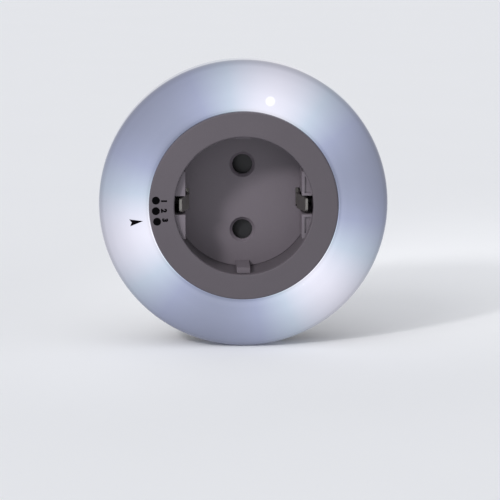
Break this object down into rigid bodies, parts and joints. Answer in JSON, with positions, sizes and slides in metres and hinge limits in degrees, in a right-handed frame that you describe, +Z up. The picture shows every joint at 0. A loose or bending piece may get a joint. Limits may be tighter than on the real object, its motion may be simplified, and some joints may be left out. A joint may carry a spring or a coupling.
{
  "type": "plug in night light",
  "caption": "Round plug-in night light with a pass-through earthed socket, a turning opal ring diffuser that selects the lamp colour, and a shuttered well.",
  "frame": {"origin": "on the plug axis, in the plane of the rear bearing face that meets the wall socket", "axes": "+Z up, +Y along the plug pins into the wall, the lit face looks to -Y, +X to the viewer's right"},
  "size_m": [0.082, 0.0624, 0.082],
  "materials": {
    "opal_diffuser": "glossy opal, lit from inside",
    "housing_plastic": "satin moulded grey",
    "inner_plastic": "satin black",
    "spring_steel": "drawn wire",
    "nickelled_brass": "nickel plated",
    "contact_brass": "satin brass",
    "screw_steel": "zinc plated",
    "board_laminate": "paper laminate with solder mask",
    "led_white": "clear epoxy",
    "led_blue": "tinted epoxy",
    "led_green": "tinted epoxy",
    "capacitor_case": "moulded case",
    "capacitor_sleeve": "shrink sleeve",
    "resistor_body": "lacquered",
    "wire_brown": "insulated wire",
    "wire_blue": "insulated wire"
  },
  "bodies": {
    "housing": {"rear_housing": "housing_plastic", "plug_body": "housing_plastic", "front_housing": "housing_plastic", "socket_insert": "housing_plastic", "shutter_cover": "inner_plastic", "shutter_spring": "spring_steel", "plug_pin_upper": "nickelled_brass", "plug_pin_lower": "nickelled_brass", "socket_contact_upper": "contact_brass", "socket_contact_lower": "contact_brass", "earth_strap": "nickelled_brass", "housing_screws": "screw_steel", "circuit_board": "board_laminate", "white_leds": "led_white", "blue_leds": "led_blue", "green_leds": "led_green", "slide_switch_body": "inner_plastic", "film_capacitor": "capacitor_case", "electrolytic_capacitor": "capacitor_sleeve", "bridge_rectifier": "inner_plastic", "resistors": "resistor_body", "live_wire": "wire_brown", "neutral_wire": "wire_blue"},
    "diffuser": {"diffuser": "opal_diffuser"},
    "switch_knob": {"slide_switch_knob": "inner_plastic"},
    "shutter": {"shutter": "inner_plastic"},
    "clip_right": {"earth_clip_right": "nickelled_brass"},
    "clip_left": {"earth_clip_left": "nickelled_brass"}
  },
  "joints": [
    {"name": "diffuser_turn", "type": "hinge", "parent": "housing", "child": "diffuser", "pos_m": [0, -0.02, 0], "axis": [0, 1, 0], "range_deg": [0, 14]},
    {"name": "switch_slide", "type": "slide", "parent": "housing", "child": "switch_knob", "axis": [-1, 0, 0], "range_m": [0, 0.0077]},
    {"name": "shutter_slide", "type": "slide", "parent": "housing", "child": "shutter", "axis": [1, 0, 0], "range_m": [0, 0.0062], "stiffness_N_per_m": 60, "springref_m": -0.004, "deforming": ["shutter_spring"]},
    {"name": "earth_clip_right_flex", "type": "hinge", "parent": "housing", "child": "clip_right", "pos_m": [0.01685, -0.004, 0], "axis": [0, 0, 1], "range_deg": [0, 4.5], "stiffness_Nm_per_rad": 0.05, "springref_deg": -5.73},
    {"name": "earth_clip_left_flex", "type": "hinge", "parent": "housing", "child": "clip_left", "pos_m": [-0.01685, -0.004, 0], "axis": [0, 0, -1], "range_deg": [0, 4.5], "stiffness_Nm_per_rad": 0.05, "springref_deg": -5.73}
  ],
  "couplings": [
    {"joint": "switch_slide", "follows": "diffuser_turn", "m_per_rad": 0.0315}
  ]
}
